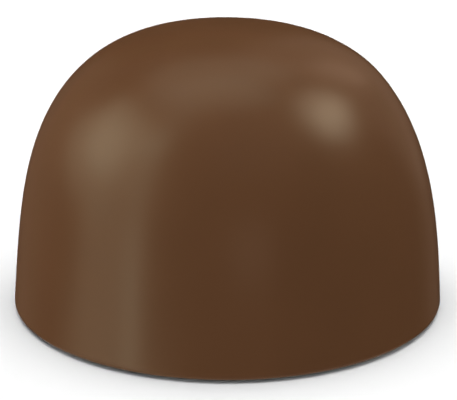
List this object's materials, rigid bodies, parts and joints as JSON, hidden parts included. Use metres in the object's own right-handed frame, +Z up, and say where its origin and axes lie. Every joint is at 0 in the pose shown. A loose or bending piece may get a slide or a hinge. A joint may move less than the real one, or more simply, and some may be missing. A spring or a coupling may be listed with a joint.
{
  "type": "chocolate praline",
  "caption": "Moulded milk chocolate praline: a smooth round dome with a slightly drafted side wall, a full rolled shoulder, a softly crowned top and a flat base whose rim is narrowly bevelled.",
  "frame": {"origin": "middle of the flat base, where the praline rests on a surface", "axes": "+Z up along the dome's axis of revolution; X and Y lie in the base, and the shown side faces -Y"},
  "size_m": [0.03, 0.03, 0.0194],
  "materials": {
    "milk_chocolate": "satin brown milk chocolate, as released from a polished mould"
  },
  "bodies": {
    "root": {"praline": "milk_chocolate"}
  },
  "joints": []
}
